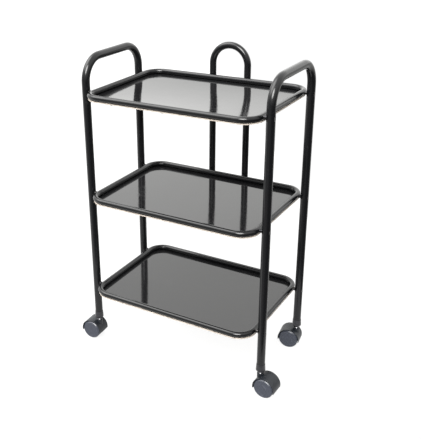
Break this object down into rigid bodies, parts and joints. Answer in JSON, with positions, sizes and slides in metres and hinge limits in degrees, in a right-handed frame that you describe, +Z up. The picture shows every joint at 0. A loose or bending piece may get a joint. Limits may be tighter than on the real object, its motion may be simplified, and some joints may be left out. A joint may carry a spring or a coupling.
{
  "type": "salon trolley",
  "caption": "Rolling salon trolley: rimmed black trays between two bent tube side frames with handles, a rear tube loop, and twin-wheel swivel casters.",
  "frame": {"origin": "on the floor, under the centre of the bounding box", "axes": "+Z up; +X to the trolley's right across the handles; +Y to the rear, where the loop stands"},
  "size_m": [0.6254, 0.3774, 0.852],
  "materials": {
    "frame_black": "gloss black powder coat",
    "laminate_black": "mirror-gloss black",
    "board_fibre": "raw cream-beige fibreboard",
    "board_screw_zinc": "zinc plate",
    "screw_black": "black oxide",
    "spacer_black": "black enamel",
    "insert_steel": "zinc plate",
    "plug_plastic": "satin black",
    "socket_plastic": "satin black",
    "stem_chrome": "bright plate",
    "spring_steel": "plain",
    "hood_nylon": "dark blue-grey, fine grain",
    "wheel_nylon": "dark blue-grey, satin",
    "axle_steel": "ground steel"
  },
  "bodies": {
    "trolley": {"side_frame_left": "frame_black", "side_frame_right": "frame_black", "rear_loop": "frame_black", "rear_loop_end_plugs": "plug_plastic", "lower_tray_rim": "frame_black", "lower_tray_laminate": "laminate_black", "lower_tray_board": "board_fibre", "lower_tray_board_screws": "board_screw_zinc", "lower_tray_leg_screws": "screw_black", "lower_tray_leg_spacers": "spacer_black", "lower_tray_threaded_inserts": "insert_steel", "middle_tray_rim": "frame_black", "middle_tray_laminate": "laminate_black", "middle_tray_board": "board_fibre", "middle_tray_board_screws": "board_screw_zinc", "middle_tray_leg_screws": "screw_black", "middle_tray_leg_spacers": "spacer_black", "middle_tray_threaded_inserts": "insert_steel", "top_tray_rim": "frame_black", "top_tray_laminate": "laminate_black", "top_tray_board": "board_fibre", "top_tray_board_screws": "board_screw_zinc", "top_tray_leg_screws": "screw_black", "top_tray_leg_spacers": "spacer_black", "top_tray_threaded_inserts": "insert_steel", "rear_loop_screws": "screw_black", "rear_loop_spacers": "spacer_black", "rear_loop_threaded_inserts": "insert_steel", "front_left_leg_socket": "socket_plastic", "front_left_caster_stem": "stem_chrome", "front_left_stem_grip_ring": "spring_steel", "front_right_leg_socket": "socket_plastic", "front_right_caster_stem": "stem_chrome", "front_right_stem_grip_ring": "spring_steel", "rear_left_leg_socket": "socket_plastic", "rear_left_caster_stem": "stem_chrome", "rear_left_stem_grip_ring": "spring_steel", "rear_right_leg_socket": "socket_plastic", "rear_right_caster_stem": "stem_chrome", "rear_right_stem_grip_ring": "spring_steel"},
    "front_left_caster": {"front_left_caster_hood": "hood_nylon", "front_left_caster_axle": "axle_steel"},
    "front_left_wheel_left": {"front_left_caster_wheel_left": "wheel_nylon"},
    "front_left_wheel_right": {"front_left_caster_wheel_right": "wheel_nylon"},
    "front_right_caster": {"front_right_caster_hood": "hood_nylon", "front_right_caster_axle": "axle_steel"},
    "front_right_wheel_left": {"front_right_caster_wheel_left": "wheel_nylon"},
    "front_right_wheel_right": {"front_right_caster_wheel_right": "wheel_nylon"},
    "rear_left_caster": {"rear_left_caster_hood": "hood_nylon", "rear_left_caster_axle": "axle_steel"},
    "rear_left_wheel_left": {"rear_left_caster_wheel_left": "wheel_nylon"},
    "rear_left_wheel_right": {"rear_left_caster_wheel_right": "wheel_nylon"},
    "rear_right_caster": {"rear_right_caster_hood": "hood_nylon", "rear_right_caster_axle": "axle_steel"},
    "rear_right_wheel_left": {"rear_right_caster_wheel_left": "wheel_nylon"},
    "rear_right_wheel_right": {"rear_right_caster_wheel_right": "wheel_nylon"}
  },
  "joints": [
    {"name": "front_left_caster_swivel", "type": "hinge", "parent": "trolley", "child": "front_left_caster", "pos_m": [-0.2615, -0.13675, 0.043], "axis": [0, 0, 1], "continuous": true},
    {"name": "front_left_wheel_left_roll", "type": "hinge", "parent": "front_left_caster", "child": "front_left_wheel_left", "pos_m": [-0.27948, -0.13769, 0.0272], "axis": [0.0523, -0.9986, 0], "continuous": true},
    {"name": "front_left_wheel_right_roll", "type": "hinge", "parent": "front_left_caster", "child": "front_left_wheel_right", "pos_m": [-0.27948, -0.13769, 0.0272], "axis": [0.0523, -0.9986, 0], "continuous": true},
    {"name": "front_right_caster_swivel", "type": "hinge", "parent": "trolley", "child": "front_right_caster", "pos_m": [0.2615, -0.13675, 0.043], "axis": [0, 0, 1], "continuous": true},
    {"name": "front_right_wheel_left_roll", "type": "hinge", "parent": "front_right_caster", "child": "front_right_wheel_left", "pos_m": [0.27949, -0.13738, 0.0272], "axis": [0.0349, 0.9994, 0], "continuous": true},
    {"name": "front_right_wheel_right_roll", "type": "hinge", "parent": "front_right_caster", "child": "front_right_wheel_right", "pos_m": [0.27949, -0.13738, 0.0272], "axis": [0.0349, 0.9994, 0], "continuous": true},
    {"name": "rear_left_caster_swivel", "type": "hinge", "parent": "trolley", "child": "rear_left_caster", "pos_m": [-0.2615, 0.11325, 0.043], "axis": [0, 0, 1], "continuous": true},
    {"name": "rear_left_wheel_left_roll", "type": "hinge", "parent": "rear_left_caster", "child": "rear_left_wheel_left", "pos_m": [-0.27871, 0.10799, 0.0272], "axis": [0.2924, -0.9563, 0], "continuous": true},
    {"name": "rear_left_wheel_right_roll", "type": "hinge", "parent": "rear_left_caster", "child": "rear_left_wheel_right", "pos_m": [-0.27871, 0.10799, 0.0272], "axis": [0.2924, -0.9563, 0], "continuous": true},
    {"name": "rear_right_caster_swivel", "type": "hinge", "parent": "trolley", "child": "rear_right_caster", "pos_m": [0.2615, 0.11325, 0.043], "axis": [0, 0, 1], "continuous": true},
    {"name": "rear_right_wheel_left_roll", "type": "hinge", "parent": "rear_right_caster", "child": "rear_right_wheel_left", "pos_m": [0.24368, 0.11074, 0.0272], "axis": [0.1392, -0.9903, 0], "continuous": true},
    {"name": "rear_right_wheel_right_roll", "type": "hinge", "parent": "rear_right_caster", "child": "rear_right_wheel_right", "pos_m": [0.24368, 0.11074, 0.0272], "axis": [0.1392, -0.9903, 0], "continuous": true}
  ]
}
